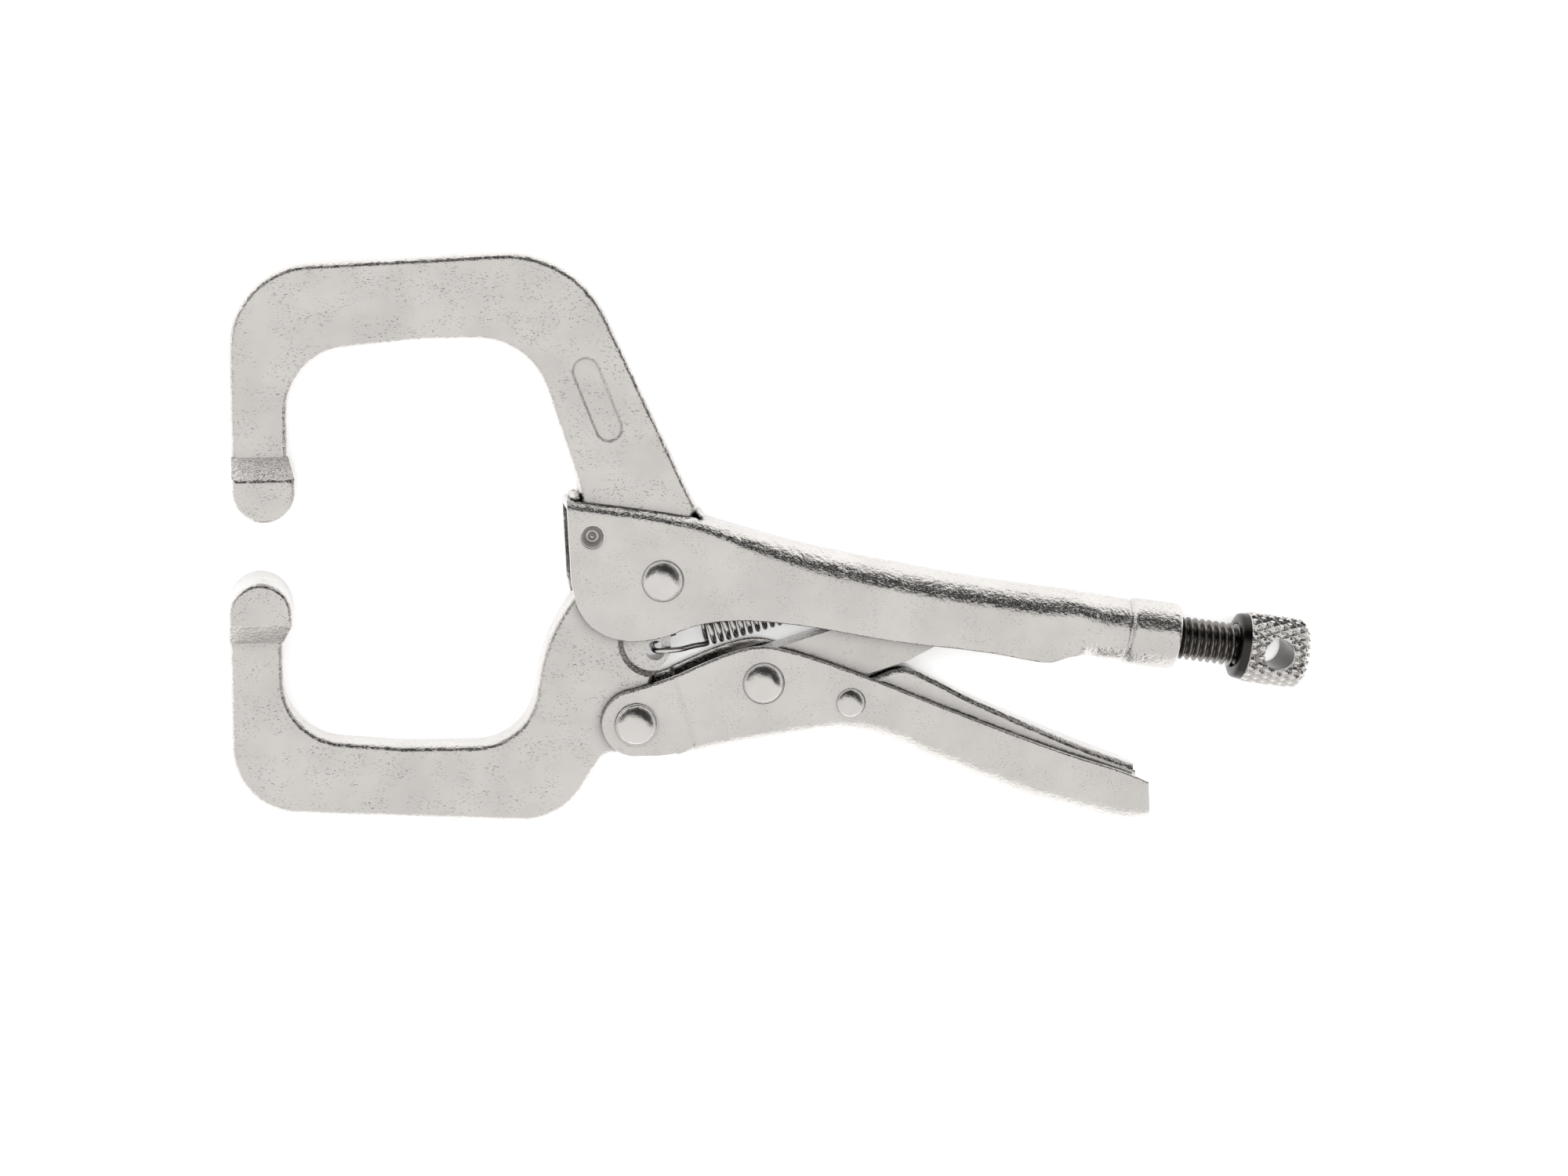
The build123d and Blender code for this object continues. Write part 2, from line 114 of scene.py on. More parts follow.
def curve_points(corners, count):
    """Points evenly spaced along a smooth curve through 2-D corners."""
    dense = []
    for i in range(len(corners) - 1):
        p0 = Vector(corners[max(i - 1, 0)])
        p1 = Vector(corners[i])
        p2 = Vector(corners[i + 1])
        p3 = Vector(corners[min(i + 2, len(corners) - 1)])
        # centripetal knots keep the curve from swinging out where the spacing is uneven
        k1 = max((p1 - p0).length, 1e-6) ** 0.5
        k2 = max((p2 - p1).length, 1e-6) ** 0.5
        k3 = max((p3 - p2).length, 1e-6) ** 0.5
        out1 = (p2 - p1) / k2 if i == 0 else (p1 - p0) / k1 - (p2 - p0) / (k1 + k2) + (p2 - p1) / k2
        last = i == len(corners) - 2
        out2 = (p2 - p1) / k2 if last else (p2 - p1) / k2 - (p3 - p1) / (k2 + k3) + (p3 - p2) / k3
        for step in range(CURVE_STEPS):
            t = step / CURVE_STEPS
            dense.append(
                (2 * t ** 3 - 3 * t ** 2 + 1) * p1 + (t ** 3 - 2 * t ** 2 + t) * k2 * out1
                + (3 * t ** 2 - 2 * t ** 3) * p2 + (t ** 3 - t ** 2) * k2 * out2
            )
    dense.append(Vector(corners[-1]))
    lengths = [0.0]
    for a, b in zip(dense, dense[1:]):
        lengths.append(lengths[-1] + (b - a).length)
    points = []
    j = 0
    for i in range(count):
        target = lengths[-1] * i / (count - 1)
        while j < len(lengths) - 2 and lengths[j + 1] < target:
            j += 1
        span = lengths[j + 1] - lengths[j]
        points.append(dense[j].lerp(dense[j + 1], (target - lengths[j]) / span))
    return points


# ---------------------------------------------------------------- meshes
def new_object(name, vertices, faces):
    mesh = bpy.data.meshes.new(name)
    mesh.from_pydata([tuple(v) for v in vertices], [], faces)
    mesh.validate()
    obj = bpy.data.objects.new(name, mesh)
    bpy.context.scene.collection.objects.link(obj)
    return obj


def grid_object(name, rows, around=False, ends=False):
    """A skin over rows of points; around joins each row's ends, ends closes the first and last row."""
    count = len(rows[0])
    vertices = [point for row in rows for point in row]
    faces = []
    for i in range(len(rows) - 1):
        for j in range(count if around else count - 1):
            k = (j + 1) % count
            faces.append((i * count + j, i * count + k, (i + 1) * count + k, (i + 1) * count + j))
    if ends:
        faces.append(tuple(range(count))[::-1])
        faces.append(tuple((len(rows) - 1) * count + j for j in range(count)))
    return new_object(name, vertices, faces)


def settle(obj):
    """Applies an object's modifiers to its mesh."""
    depsgraph = bpy.context.evaluated_depsgraph_get()
    mesh = bpy.data.meshes.new_from_object(obj.evaluated_get(depsgraph))
    obj.modifiers.clear()
    obj.data = mesh


def outward(obj):
    """Turns every face of a closed mesh to face out."""
    work = bmesh.new()
    work.from_mesh(obj.data)
    bmesh.ops.recalc_face_normals(work, faces=work.faces)
    work.to_mesh(obj.data)
    work.free()


def shade(obj, angle=35.0):
    """Smooth shading, with edges sharper than the angle left crisp."""
    limit = math.radians(angle)
    work = bmesh.new()
    work.from_mesh(obj.data)
    for face in work.faces:
        face.smooth = True
    for edge in work.edges:
        edge.smooth = len(edge.link_faces) == 2 and edge.calc_face_angle(0.0) < limit
    work.to_mesh(obj.data)
    work.free()


def cut(obj, cutter):
    """Takes the cutter's closed shape out of an object."""
    tool = obj.modifiers.new("cut", "BOOLEAN")
    tool.operation = "DIFFERENCE"
    tool.solver = "EXACT"
    tool.object = cutter
    settle(obj)
    bpy.data.objects.remove(cutter)


def block(name, low, high):
    """A box between two corners, in millimetres from the main pivot."""
    corners = [at(x, y, z) for x in (low[0], high[0]) for y in (low[1], high[1]) for z in (low[2], high[2])]
    faces = [(0, 1, 3, 2), (4, 6, 7, 5), (0, 4, 5, 1), (2, 3, 7, 6), (0, 2, 6, 4), (1, 5, 7, 3)]
    obj = new_object(name, corners, faces)
    outward(obj)
    return obj


def rod(name, start, end, radius, sides=32):
    """A plain cylinder between two points of the frame, radius in millimetres."""
    along = (end - start).normalized()
    side = along.orthogonal().normalized()
    other = along.cross(side)
    turns = [2 * math.pi * i / sides for i in range(sides)]
    rows = [
        [p + (side * math.cos(a) + other * math.sin(a)) * radius * MM for a in turns] for p in (start, end)
    ]
    obj = grid_object(name, rows, around=True, ends=True)
    outward(obj)
    return obj


def join(main, *others):
    """Adds other objects' meshes to one object."""
    work = bmesh.new()
    for obj in (main, *others):
        work.from_mesh(obj.data)
    work.to_mesh(main.data)
    work.free()
    for obj in others:
        bpy.data.objects.remove(obj)


# ---------------------------------------------------------------- materials
class Nodes:
    """Short calls for building one material's nodes."""

    def __init__(self, name):
        self.material = bpy.data.materials.new(name)
        self.material.use_nodes = True
        self.tree = self.material.node_tree
        self.surface = self.tree.nodes["Principled BSDF"]
        self.place = self.new("ShaderNodeTexCoord").outputs["Object"]

    def new(self, kind, **values):
        node = self.tree.nodes.new(kind)
        for key, value in values.items():
            setattr(node, key, value)
        return node

    def link(self, output, socket):
        self.tree.links.new(output, socket)

    def stretched(self, scale, turn=0.0):
        """Object coordinates, scaled by three factors after a turn in degrees in the tool's plane."""
        mapping = self.new("ShaderNodeMapping")
        mapping.inputs["Rotation"].default_value = (0, 0, math.radians(turn))
        mapping.inputs["Scale"].default_value = scale
        self.link(self.place, mapping.inputs["Vector"])
        return mapping.outputs["Vector"]

    def noise(self, size_mm, detail=2.0, roughness=0.5, place=None):
        """Noise whose features are about this many millimetres across."""
        node = self.new("ShaderNodeTexNoise")
        node.inputs["Scale"].default_value = 1 / (size_mm * MM)
        node.inputs["Detail"].default_value = detail
        node.inputs["Roughness"].default_value = roughness
        self.link(place or self.place, node.inputs["Vector"])
        return node.outputs["Fac"]

    def ramp(self, value, low, high, to_low=0.0, to_high=1.0):
        node = self.new("ShaderNodeMapRange", interpolation_type="SMOOTHSTEP")
        self.link(value, node.inputs["Value"])
        node.inputs["From Min"].default_value = low
        node.inputs["From Max"].default_value = high
        node.inputs["To Min"].default_value = to_low
        node.inputs["To Max"].default_value = to_high
        return node.outputs["Result"]

    def sum(self, first, second, operation="ADD"):
        node = self.new("ShaderNodeMath", operation=operation)
        for socket, value in zip(node.inputs, (first, second)):
            if isinstance(value, (int, float)):
                socket.default_value = value
            else:
                self.link(value, socket)
        return node.outputs[0]

    def mix(self, factor, first, second):
        node = self.new("ShaderNodeMix", data_type="RGBA")
        self.link(factor, node.inputs["Factor"])
        node.inputs["A"].default_value = (*first, 1)
        node.inputs["B"].default_value = (*second, 1)
        return node.outputs["Result"]

    def bump(self, height, depth_mm, normal=None):
        node = self.new("ShaderNodeBump")
        node.inputs["Distance"].default_value = depth_mm * MM
        self.link(height, node.inputs["Height"])
        if normal is not None:
            self.link(normal, node.inputs["Normal"])
        return node.outputs["Normal"]

    def finish(self, color, roughness, normal):
        self.link(color, self.surface.inputs["Base Color"])
        self.link(roughness, self.surface.inputs["Roughness"])
        self.link(normal, self.surface.inputs["Normal"])
        self.surface.inputs["Metallic"].default_value = 1.0
        return self.material


# sizes in millimetres of the features in the plating and of the reach of the painted crevice shade; the plating's
# colour in its pits, where it is thin, and the colours of painted shade in crevices and on the knob's shoulder and
# in its cross hole
MOTTLE = 9.0
PIT_PATCH = 3.4
PIT = 0.36
STREAK = 0.16
SMEAR = 1.8
CREVICE_SHADE_REACH = 2.2
PIT_DEPTH = 0.02
BROAD_GRAIN = 3.2                 # the second, broader grain, in sizes of the first
BROAD_DEPTH = 1.4                 # and its depth, in depths of the first
CREVICE_SHADE = 0.30              # colour of the painted shade deep in a crevice, as a share of the tint
PIT_COLOUR = (0.13, 0.12, 0.115, 1)
# colour of the painted shade on the knob's shoulder and inside its cross hole
KNOB_PAINTED_SHADE = (0.045, 0.042, 0.04, 1)
BEND_BELOW = 0.90                 # a normal's share of Z, below which a face counts as bent
FLAT_ABOVE = 0.995                # and above which it counts as flat


def nickel(
    name, tint, grain_mm, grain_depth, smooth_rough, pits=0.0, pit_turn=24, brushed=0.0,
    flat_grain=0.2, painted_shade_core=None,
):
    """Satin nickel plate: grain that the flat faces have less of, a slow mottle, pits, painted shade that darkens
    the crevices, and near-black painted shade under an optional mask.
    """
    n = Nodes(name)
    facing = n.new("ShaderNodeSeparateXYZ")
    n.link(n.new("ShaderNodeNewGeometry").outputs["Normal"], facing.inputs["Vector"])
    on_bend = n.ramp(n.sum(facing.outputs["Z"], 0.0, "ABSOLUTE"), BEND_BELOW, FLAT_ABOVE, 1.0, flat_grain)
    mottle = n.noise(MOTTLE, 3.0, 0.6)
    grain = n.noise(grain_mm, 2.0, 0.6)
    broad = n.noise(grain_mm * BROAD_GRAIN, 2.0, 0.5)
    speck = n.noise(PIT, 1.5, 0.6, n.stretched((1.0, 2.6, 1.0), pit_turn))
    spread = n.ramp(n.noise(PIT_PATCH, 2.0, 0.5), 0.34, 0.62)
    pit = n.sum(n.ramp(speck, 0.615, 0.70), spread, "MULTIPLY")
    streak = n.noise(STREAK, 2.0, 0.6, n.stretched((0.03, 1.0, 1.0), pit_turn - 12))
    light = tuple(min(1.0, c * 1.04) for c in tint)
    shadow = tuple(c * 0.93 for c in tint)
    base = n.mix(n.ramp(mottle, 0.3, 0.7), shadow, light)
    color = n.new("ShaderNodeMix", data_type="RGBA")
    n.link(n.sum(pit, pits, "MULTIPLY"), color.inputs["Factor"])
    n.link(base, color.inputs["A"])
    color.inputs["B"].default_value = PIT_COLOUR
    rough = n.ramp(n.noise(SMEAR, 4.0, 0.65), 0.25, 0.75, smooth_rough * 0.75, smooth_rough * 1.35)
    normal = n.bump(n.sum(grain, on_bend, "MULTIPLY"), grain_depth)
    normal = n.bump(n.sum(broad, on_bend, "MULTIPLY"), grain_depth * BROAD_DEPTH, normal)
    if pits:
        normal = n.bump(n.sum(pit, -1.0, "MULTIPLY"), PIT_DEPTH * pits, normal)
    if brushed:
        normal = n.bump(streak, brushed, normal)
    # painted shade: ambient occlusion darkens the colour in crevices, under plates and round rivets, towards
    # CREVICE_SHADE of the tint
    painted_crevice_shade = n.new("ShaderNodeAmbientOcclusion", samples=6)
    painted_crevice_shade.inputs["Distance"].default_value = CREVICE_SHADE_REACH * MM
    n.link(color.outputs["Result"], painted_crevice_shade.inputs["Color"])
    shaded = n.new("ShaderNodeMix", data_type="RGBA")
    n.link(n.ramp(painted_crevice_shade.outputs["AO"], 0.30, 0.95), shaded.inputs["Factor"])
    shaded.inputs["A"].default_value = (*(c * CREVICE_SHADE for c in tint), 1)
    n.link(color.outputs["Result"], shaded.inputs["B"])
    # painted shade: under the mask the colour goes to near black
    if painted_shade_core:
        core = n.ramp(painted_shade_core(n), 0.0, 1.0)
        painted_shade_mix = n.new("ShaderNodeMix", data_type="RGBA")
        n.link(core, painted_shade_mix.inputs["Factor"])
        n.link(shaded.outputs["Result"], painted_shade_mix.inputs["A"])
        painted_shade_mix.inputs["B"].default_value = KNOB_PAINTED_SHADE
        shaded = painted_shade_mix
    return n.finish(shaded.outputs["Result"], rough, normal)


def knob_painted_shade_mask(n):
    """1 on the knob's shoulder and inside its cross hole, where shade is painted near black."""
    apart = n.new("ShaderNodeVectorMath", operation="SUBTRACT")
    n.link(n.place, apart.inputs[0])
    apart.inputs[1].default_value = SCREW_MIDDLE
    along = n.new("ShaderNodeVectorMath", operation="DOT_PRODUCT")
    n.link(apart.outputs["Vector"], along.inputs[0])
    along.inputs[1].default_value = SCREW_AXIS
    off_axis = n.new("ShaderNodeVectorMath", operation="CROSS_PRODUCT")
    n.link(apart.outputs["Vector"], off_axis.inputs[0])
    off_axis.inputs[1].default_value = SCREW_AXIS
    reach = n.new("ShaderNodeVectorMath", operation="LENGTH")
    n.link(off_axis.outputs["Vector"], reach.inputs[0])
    shoulder = n.ramp(along.outputs["Value"], -4.3 * MM, -4.15 * MM, 1.0, 0.0)
    inside = n.ramp(reach.outputs["Value"], 3.9 * MM, 4.25 * MM, 1.0, 0.0)
    face = n.ramp(along.outputs["Value"], 3.4 * MM, 3.8 * MM, 1.0, 0.0)
    return n.sum(shoulder, n.sum(inside, face, "MULTIPLY"), "MAXIMUM")


def make_materials():
    warm = (0.66, 0.64, 0.62)
    return {
        "jaw_nickel": nickel("jaw_nickel", warm, 0.42, 0.11, 0.16, pits=0.7, pit_turn=20, flat_grain=0.22),
        "handle_nickel": nickel("handle_nickel", warm, 0.44, 0.13, 0.12, pits=0.45, brushed=0.004),
        "lever_nickel": nickel("lever_nickel", warm, 0.42, 0.12, 0.12, pits=0.3),
        "rivet_steel": nickel("rivet_steel", (0.72, 0.70, 0.68), 0.9, 0.06, 0.17, pits=0.12),
        "link_steel": nickel("link_steel", (0.60, 0.58, 0.56), 0.42, 0.11, 0.18, pits=0.4),
        "screw_steel": nickel("screw_steel", (0.25, 0.235, 0.22), 0.3, 0.02, 0.24, pits=0.2),
        "knob_nickel": nickel("knob_nickel", (0.74, 0.72, 0.70), 0.3, 0.006, 0.18, painted_shade_core=knob_painted_shade_mask),
        "spring_steel": nickel("spring_steel", (0.68, 0.66, 0.64), 0.5, 0.002, 0.16),
        "weld_steel": nickel("weld_steel", warm, 0.35, 0.04, 0.16, pits=0.2),
    }


materials = make_materials()


def paint(obj, slot, body):
    """Gives a new piece the material named by a slot, and the body it moves with."""
    obj.data.materials.clear()
    obj.data.materials.append(materials[slot])
    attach(obj, body)


def paint_cad_nodes():
    """Gives each node of the frame the material of its record slot."""
    for row in frame["record"]["subparts"]:
        node = frame["nodes"][row["node"]]
        node.data.materials.clear()
        node.data.materials.append(materials[row["material_slot"]])


# ---------------------------------------------------------------- pressed channels
CORNER_STEPS = 3
SIDE_STEPS = 16
BEND_STEPS = 7
FLAT_STEPS = 3
SIDE_END = CORNER_STEPS + SIDE_STEPS                  # where a side meets the bend
HALF_LAST = SIDE_END + BEND_STEPS + FLAT_STEPS        # middle of the back
OUTER_LAST = 2 * HALF_LAST
LOOP_LAST = 2 * OUTER_LAST + 1
BEND_SHARE = 0.45                                     # most of a section's height that a bend may take
LEAST_INNER = 0.05                                    # least radius inside a bend
TUBE_SEAM = math.radians(177.6)                       # angles round the rolled tube: its free edges,
TUBE_FLANK = math.radians(80)                         # where a channel's side meets its bend,
TUBE_SHOULDER = math.radians(34)                      # and where that bend ends


def closed_loop(outer, inner):
    """Joins half sections, each from the free edge to the middle, into one loop with their mirror images."""
    return (
        outer + [(point, -z) for point, z in outer[-2::-1]]
        + [(point, -z) for point, z in inner] + inner[-2::-1]
    )


def channel_row(back, edge, bend, half_width, thickness, edge_round, is_ear=False):
    """Closed section of a channel of one thickness, with rounded free edges.

    back and edge are 2-D points, bend the outer radius, and half_width a function of a 2-D point.
    """
    down = edge - back
    length = down.length
    down.normalize()
    radius = min(bend, BEND_SHARE * length)
    inner_reach = max(radius, thickness + LEAST_INNER)
    inner_centre = radius if is_ear else inner_reach
    inner_radius = inner_reach - thickness

    def spot(distance, inset):
        point = back + down * distance
        return (point, half_width(point) - inset)

    def half(first_inset, face_inset, centre, arc_inset, arc_radius):
        points = []
        for k in range(CORNER_STEPS):
            turn = math.pi / 2 * (1 - k / CORNER_STEPS)
            inset = face_inset + (first_inset - face_inset) * (1 - math.cos(turn))
            points.append(spot(length - edge_round * (1 - math.sin(turn)), inset))
        for k in range(SIDE_STEPS + 1):
            distance = length - edge_round + (centre - length + edge_round) * k / SIDE_STEPS
            points.append(spot(distance, face_inset))
        middle = half_width(back + down * centre) - arc_inset
        for k in range(1, BEND_STEPS + 1):
            turn = math.pi / 2 * k / BEND_STEPS
            point = back + down * (centre - arc_radius * math.sin(turn))
            points.append((point, middle + arc_radius * math.cos(turn)))
        for k in range(1, FLAT_STEPS + 1):
            points.append((points[SIDE_END + BEND_STEPS][0], middle * (1 - k / FLAT_STEPS)))
        return points

    outer = half(edge_round, 0.0, radius, radius, radius)
    inner = half(
        thickness - edge_round, thickness, inner_centre, thickness + inner_radius, inner_radius
    )
    return [at(point.x, point.y, z) for point, z in closed_loop(outer, inner)]


def tube_row(distance, radius, thickness, edge_round):
    """Closed section of the rolled tube round the screw, with as many points as a channel's section."""
    def half(face, corner_depth):
        start = TUBE_SEAM - edge_round / radius
        points = []
        for k in range(CORNER_STEPS):
            turn = math.pi / 2 * (1 - k / CORNER_STEPS)
            angle = start + (TUBE_SEAM - start) * math.sin(turn)
            points.append((face + corner_depth * (1 - math.cos(turn)), angle))
        turns = [start + (TUBE_FLANK - start) * k / SIDE_STEPS for k in range(SIDE_STEPS + 1)]
        bent = TUBE_SHOULDER - TUBE_FLANK
        turns += [TUBE_FLANK + bent * k / BEND_STEPS for k in range(1, BEND_STEPS + 1)]
        turns += [TUBE_SHOULDER * (1 - k / FLAT_STEPS) for k in range(1, FLAT_STEPS + 1)]
        return points + [(face, turn) for turn in turns]

    loop = closed_loop(half(radius, -edge_round), half(radius - thickness, edge_round))
    return [on_screw(distance, face, turn) for face, turn in loop]


def sheet_object(name, rows, open_back=0):
    """A pressed sheet from closed sections; its first open_back rows are two plates with no back."""
    count = len(rows[0])
    vertices = [point for row in rows for point in row]
    outer_back = range(SIDE_END, OUTER_LAST - SIDE_END)
    inner_back = range(OUTER_LAST + 1 + SIDE_END, LOOP_LAST - SIDE_END)
    corners = (outer_back.start, outer_back.stop, inner_back.start, inner_back.stop)
    faces = []
    for i in range(len(rows) - 1):
        low = i * count
        high = low + count
        for j in range(count):
            k = (j + 1) % count
            if i >= open_back or not (j in outer_back or j in inner_back):
                faces.append((low + j, low + k, high + k, high + j))
        if i < open_back:
            near, far, far_inner, near_inner = corners
            faces.append((low + near, high + near, high + near_inner, low + near_inner))
            faces.append((low + far, high + far, high + far_inner, low + far_inner))
    last = (len(rows) - 1) * count
    faces.append(tuple(last + j for j in range(count)))
    if open_back:
        near, far, far_inner, near_inner = corners
        first_full = open_back * count
        edge_of_back = list(range(near, far + 1)) + list(range(far_inner, near_inner + 1))
        faces.append(tuple(first_full + j for j in edge_of_back))
        faces.append(tuple(list(range(near + 1)) + list(range(near_inner, count))))
        faces.append(tuple(range(far, far_inner + 1)))
    else:
        faces.append(tuple(range(count)))
    obj = new_object(name, vertices, faces)
    work = bmesh.new()
    work.from_mesh(obj.data)
    loose = [vertex for vertex in work.verts if not vertex.link_faces]
    bmesh.ops.delete(work, geom=loose, context="VERTS")
    work.to_mesh(obj.data)
    work.free()
    outward(obj)
    return obj


def bore(obj, x, y, radius):
    """Cuts a round hole right across the tool."""
    cut(obj, rod("hole", at(x, y, -REACH_ACROSS), at(x, y, REACH_ACROSS), radius, 48))


# ---------------------------------------------------------------- fixed handle
HANDLE_BACK = (
    (-12.9, 11.15), (3.7, 8.6), (12.3, 6.3), (19.0, 4.4), (28.0, 2.3), (44.0, -0.95), (62.5, -3.95),
    (66.0, -4.5),
)
HANDLE_BEND = ((-12.9, 1.5), (3.7, 2.0), (12.3, 3.3), (19.0, 4.0), (28.0, 4.5), (66.0, 4.5))
HANDLE_EDGE = (
    (-12.35, -0.3), (-11.3, -4.1), (-9.1, -6.7), (-4.9, -8.25), (-0.6, -7.95), (5.0, -6.2), (10.5, -5.75),
    (19.3, -6.65), (30.0, -8.75), (38.0, -10.0), (46.0, -11.25), (53.6, -12.6), (56.0, -11.9),
    (58.5, -11.6), (62.5, -12.0), (66.0, -12.6),
)
TUBE_PROFILE = (
    (-18.0, 4.45), (-14.6, 4.4), (-12.6, 4.32), (-11.7, 4.3), (-11.25, 4.12), (-10.8, 4.55), (-10.2, 4.65),
    (-4.9, 4.65), (-4.45, 4.6), (-4.2, 4.4),
)
GRIP_EDGE = HANDLE_EDGE[7:]                # the free edge under the grip
GRIP_START = 20.0
EDGE_AHEAD = -9.0                          # stands in for the edge ahead of the grip, which has no lip
LIP_GROWS = (36.0, 41.0)
LIP_FADES = (52.5, 56.0)
LIP_DEPTH = 0.7
LIP_HEIGHT = 2.4
LOBE_END = 10.0                            # behind the round lobe, sections stand straight above their edge
ROLL = (57.2, 62.8)                        # where the channel rolls up into the tube
CHANNEL_END = 63.0
TUBE_START = -13.2                         # the tube's ends, along the screw
TUBE_END = -4.2
SLOT = ((-11.35, 2.0, -3.25), (5.05, 18.0, 3.25))
PIN_PLACE = (-9.48, 6.16)
PIN_RADIUS = 1.8
TAB_X = 28.0
TAB_HALF_SHEET = 0.6
TAB_HALF_WIDTH = 2.0
TAB_LOW = -3.4
TAB_HIGH = 1.6
TAB_HOLE_Y = -1.9
TAB_HOLE_RADIUS = 0.75


def fixed_half_width(point):
    """Side plates are flat, with a lip rolled in under the grip."""
    lip = smooth(*LIP_GROWS, point.x) * (1 - smooth(*LIP_FADES, point.x))
    edge_y = through(GRIP_EDGE, point.x) if point.x > GRIP_START else EDGE_AHEAD
    return HALF_WIDTH - LIP_DEPTH * lip * (1 - smooth(0.0, LIP_HEIGHT, point.y - edge_y))


def make_fixed_handle():
    rows = []
    count = 150
    edge = curve_points(HANDLE_EDGE, count)
    lobe = next(i for i, point in enumerate(edge) if point.x > LOBE_END)
    start_x = HANDLE_BACK[0][0]
    for i, low in enumerate(edge):
        x = low.x if i > lobe else start_x + (edge[lobe].x - start_x) * i / lobe
        if x > CHANNEL_END:
            break
        top = Vector((x, through(HANDLE_BACK, x)))
        row = channel_row(top, low, through(HANDLE_BEND, x), fixed_half_width, SHEET, EDGE_ROUND)
        rolled = smooth(*ROLL, x)
        if rolled > 0:
            distance = (x - SCREW_X) / SCREW_AXIS.x
            tube = tube_row(distance, through(TUBE_PROFILE, distance), SHEET, EDGE_ROUND)
            row = [a.lerp(b, rolled) for a, b in zip(row, tube)]
        rows.append(row)
    distance = TUBE_START
    while distance < TUBE_END:
        rows.append(tube_row(distance, through(TUBE_PROFILE, distance), SHEET, EDGE_ROUND))
        distance += 0.15
    rows.append(tube_row(TUBE_END, TUBE_PROFILE[-1][1], SHEET, EDGE_ROUND))
    handle = sheet_object("handle_shell", rows)
    cut(handle, block("slot", *SLOT))
    bore(handle, *PIN_PLACE, PIN_RADIUS)
    shade(handle, 50)
    tab_low = (TAB_X - TAB_HALF_SHEET, TAB_LOW, -TAB_HALF_WIDTH)
    tab_high = (TAB_X + TAB_HALF_SHEET, TAB_HIGH, TAB_HALF_WIDTH)
    tab = block("tab", tab_low, tab_high)
    cut(tab, rod("tab_hole", at(TAB_X - 3, TAB_HOLE_Y), at(TAB_X + 3, TAB_HOLE_Y), TAB_HOLE_RADIUS, 24))
    join(handle, tab)
    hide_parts("fixed_handle")
    paint(handle, "handle_nickel", "fixed_handle")


# ---------------------------------------------------------------- lower handle
EAR_CENTRE = (-3.70, -19.70)
EAR_RADIUS = 4.7
EAR_STEPS = 8
LINK_PLACE = (13.75, -14.40)
GRIP_TOP = (
    (1.0, -13.45), (5.0, -11.75), (9.5, -10.1), (13.4, -9.35), (17.6, -10.15), (28.0, -13.9), (40.0, -18.9),
    (55.0, -24.9), (64.5, -28.2), (67.6, -29.6),
)
BELLY = (
    (0.0, -24.35), (5.0, -23.6), (16.0, -22.0), (25.0, -21.35), (30.0, -22.3), (38.0, -26.0), (52.0, -31.8),
    (64.5, -35.1), (67.9, -35.0),
)
BELLY_BEND = ((-9.0, 0.3), (1.6, 0.3), (2.2, 0.4), (5.5, 1.7), (20.0, 2.3), (34.0, 3.3), (68.0, 3.4))
SPINE_START = 1.8                          # ahead of this the handle is two ears with no back
CREASE = ((1.7, -13.4), (4.0, -21.3))      # the crease's two ends
CREASE_HALF = 0.25                         # half the length over which the sides step in
EAR_INSET = 0.3
GROOVE_DEPTH = 0.24
GROOVE_HALF = 0.28


def ear_arc(first, last):
    """Points round an ear, from one angle to another in degrees."""
    turns = [math.radians(first + (last - first) * i / EAR_STEPS) for i in range(EAR_STEPS + 1)]
    return [
        (EAR_CENTRE[0] + EAR_RADIUS * math.cos(a), EAR_CENTRE[1] + EAR_RADIUS * math.sin(a)) for a in turns
    ]


def lower_half_width(point):
    """The ears are set in a little from the rest of the sides, at a crease."""
    (x1, y1), (x2, y2) = CREASE
    past = ((point.x - x1) * (y1 - y2) - (point.y - y1) * (x1 - x2)) / math.hypot(x2 - x1, y2 - y1)
    groove = GROOVE_DEPTH * math.exp(-((past / GROOVE_HALF) ** 2))
    return HALF_WIDTH - EAR_INSET * (1 - smooth(-CREASE_HALF, CREASE_HALF, past)) - groove


def make_lower_handle():
    count = 280
    top = curve_points(ear_arc(178, 96) + list(GRIP_TOP), count)
    belly = curve_points(ear_arc(182, 276) + list(BELLY), count)
    ears = sum(1 for low in belly if low.x < SPINE_START)
    rows = [
        channel_row(
            low, high, through(BELLY_BEND, low.x), lower_half_width, SHEET,
            min(EDGE_ROUND, 0.3 * (high - low).length), is_ear=i < ears,
        )
        for i, (low, high) in enumerate(zip(belly, top))
    ]
    handle = sheet_object("lower_shell", rows, open_back=ears)
    shade(handle, 50)
    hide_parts("lower_handle")
    paint(handle, "handle_nickel", "lower_handle")


# ---------------------------------------------------------------- release lever
LEVER_PLACE = (25.77, -17.37)
LEVER_BACK = (
    (24.6, -15.6), (28.5, -14.3), (33.2, -12.9), (36.5, -14.2), (43.0, -17.6), (57.4, -24.1), (66.0, -27.45),
)
LEVER_LOW = ((26.4, -19.4), (30.0, -19.35), (36.0, -18.9), (43.0, -21.35), (52.0, -25.5), (65.2, -30.35))
LEVER_HALF = 2.85
LEVER_BEND = 1.15
LEVER_SHEET = 0.95
LEVER_EDGE = 0.2


def make_release_lever():
    count = 90
    back = curve_points(LEVER_BACK, count)
    low = curve_points(LEVER_LOW, count)
    rows = [
        channel_row(top, edge, LEVER_BEND, lambda point: LEVER_HALF, LEVER_SHEET, LEVER_EDGE)
        for top, edge in zip(back, low)
    ]
    lever = sheet_object("lever_shell", rows)
    shade(lever, 50)
    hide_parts("release_lever")
    paint(lever, "lever_nickel", "release_lever")


